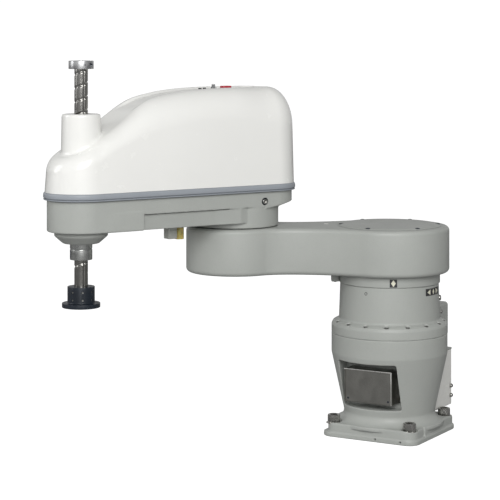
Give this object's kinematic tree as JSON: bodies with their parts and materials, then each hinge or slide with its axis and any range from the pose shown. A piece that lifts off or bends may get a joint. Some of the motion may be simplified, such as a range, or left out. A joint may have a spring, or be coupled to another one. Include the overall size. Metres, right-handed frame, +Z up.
{
  "type": "scara robot arm",
  "caption": "Bench-mounted horizontal articulated robot arm with two yawing links, a white domed drive cover and a vertical ball-screw spline shaft carrying a tool flange.",
  "frame": {"origin": "on the joint-1 axis, at the underside of the base plate", "axes": "+X towards the front of the base, the side with the window; +Z up along the joint-1 axis; +Y to the robot's left. Joint values are counted from the stored pose, in which link 1 points to -60 degrees and link 2 to -23 degrees from +X"},
  "size_m": [0.7137, 0.5811, 0.724],
  "materials": {
    "grey_paint": "textured grey two-part paint on aluminium casting",
    "white_cover": "white moulded plastic, semi-gloss",
    "white_sheet": "white painted sheet",
    "rim_grey": "bluish grey elastomer band",
    "bright_steel": "bright plated steel",
    "stainless_sheet": "folded stainless sheet, fine grain",
    "ground_steel": "ground steel",
    "aluminium": "machined aluminium",
    "motor_black": "black coated motor body",
    "belt_rubber": "black toothed belt rubber",
    "black_oxide": "black oxide on turned steel",
    "black_plastic": "black moulded plastic",
    "amber_urethane": "translucent amber urethane",
    "red_plastic": "red moulded plastic"
  },
  "bodies": {
    "base": {"base_casting": "grey_paint", "anchor_bolt_1": "bright_steel", "anchor_bolt_2": "bright_steel", "anchor_bolt_3": "bright_steel", "anchor_bolt_4": "bright_steel", "front_access_box": "stainless_sheet", "column_housing": "grey_paint", "j1_fixed_stop": "grey_paint", "rear_duct_cover": "grey_paint", "rear_connector_box": "white_sheet", "power_connector": "black_plastic", "signal_connector": "black_plastic", "base_air_port": "bright_steel", "panel_screw_1": "bright_steel", "panel_screw_2": "bright_steel", "j1_motor": "motor_black", "j1_circular_spline": "ground_steel", "j1_bearing_outer": "ground_steel"},
    "j1_wave": {"j1_wave_generator": "ground_steel"},
    "arm_1": {"arm1_casting": "grey_paint", "arm1_lid": "grey_paint", "j1_output_ring": "grey_paint", "j1_stopper": "grey_paint", "j1_bearing_inner": "ground_steel", "j1_flexspline": "ground_steel", "j2_bottom_cap": "grey_paint", "j2_circular_spline": "ground_steel", "j2_bearing_outer": "ground_steel"},
    "j2_wave": {"j2_wave_generator": "ground_steel"},
    "arm_2": {"arm2_casting": "grey_paint", "arm2_gasket": "rim_grey", "arm2_cover": "white_cover", "button_plate": "black_plastic", "air_coupling_1": "bright_steel", "air_coupling_2": "bright_steel", "spline_housing": "grey_paint", "spline_bearing": "ground_steel", "nut_bridge": "aluminium", "rotation_bracket": "aluminium", "rotation_motor": "motor_black", "z_bracket": "aluminium", "z_motor": "motor_black", "rotation_belt": "belt_rubber", "z_belt": "belt_rubber", "j2_bearing_inner": "ground_steel", "j2_flexspline": "ground_steel", "j2_motor": "motor_black", "j2_bumper": "amber_urethane", "j2_stop_bracket": "grey_paint"},
    "brake_release": {"brake_button": "red_plastic"},
    "rotation_drive": {"rotation_motor_pulley": "aluminium"},
    "z_drive": {"z_motor_pulley": "aluminium"},
    "nut": {"spline_nut": "ground_steel", "spline_pulley": "aluminium"},
    "z_nut": {"screw_nut": "ground_steel", "screw_pulley": "aluminium"},
    "shaft": {"spline_shaft": "ground_steel", "top_collar": "aluminium", "tool_flange": "black_oxide"}
  },
  "joints": [
    {"name": "joint_1", "type": "hinge", "parent": "base", "child": "arm_1", "pos_m": [0, 0, 0.302], "axis": [0, 0, 1], "range_deg": [-105, 225]},
    {"name": "joint_1_wave_turn", "type": "hinge", "parent": "base", "child": "j1_wave", "pos_m": [0, 0, 0.231], "axis": [0, 0, 1], "range_deg": [-18010, 8410]},
    {"name": "joint_2", "type": "hinge", "parent": "arm_1", "child": "arm_2", "pos_m": [0.15, -0.25981, 0.402], "axis": [0, 0, 1], "range_deg": [-182, 108]},
    {"name": "joint_2_wave_turn", "type": "hinge", "parent": "arm_2", "child": "j2_wave", "pos_m": [0.15, -0.25981, 0.362], "axis": [0, 0, 1], "range_deg": [-5515, 9290]},
    {"name": "tool_rotation", "type": "hinge", "parent": "arm_2", "child": "nut", "pos_m": [0.47218, -0.39656, 0.4], "axis": [0, 0, 1], "range_deg": [-360, 360]},
    {"name": "tool_stroke", "type": "slide", "parent": "nut", "child": "shaft", "axis": [0, 0, 1], "range_m": [-0.075, 0.045]},
    {"name": "screw_nut_turn", "type": "hinge", "parent": "nut", "child": "z_nut", "pos_m": [0.47218, -0.39656, 0.512], "axis": [0, 0, 1], "range_deg": [-650, 1082]},
    {"name": "z_motor_turn", "type": "hinge", "parent": "arm_2", "child": "z_drive", "pos_m": [0.35711, -0.34772, 0.512], "axis": [0, 0, 1], "range_deg": [-1340, 2232]},
    {"name": "rotation_motor_turn", "type": "hinge", "parent": "arm_2", "child": "rotation_drive", "pos_m": [0.26046, -0.30669, 0.46], "axis": [0, 0, 1], "range_deg": [-698, 698]},
    {"name": "brake_button_travel", "type": "slide", "parent": "arm_2", "child": "brake_release", "axis": [0, 0, -1], "range_m": [0, 0.0025], "stiffness_N_per_m": 600, "springref_m": -0.002}
  ],
  "couplings": [
    {"joint": "joint_1_wave_turn", "follows": "joint_1", "ratio": -80},
    {"joint": "joint_2_wave_turn", "follows": "joint_2", "ratio": -51},
    {"joint": "screw_nut_turn", "follows": "tool_stroke", "rad_per_m": -251.33},
    {"joint": "z_motor_turn", "follows": "tool_stroke", "rad_per_m": -518.87},
    {"joint": "rotation_motor_turn", "follows": "tool_rotation", "ratio": 1.9355}
  ]
}
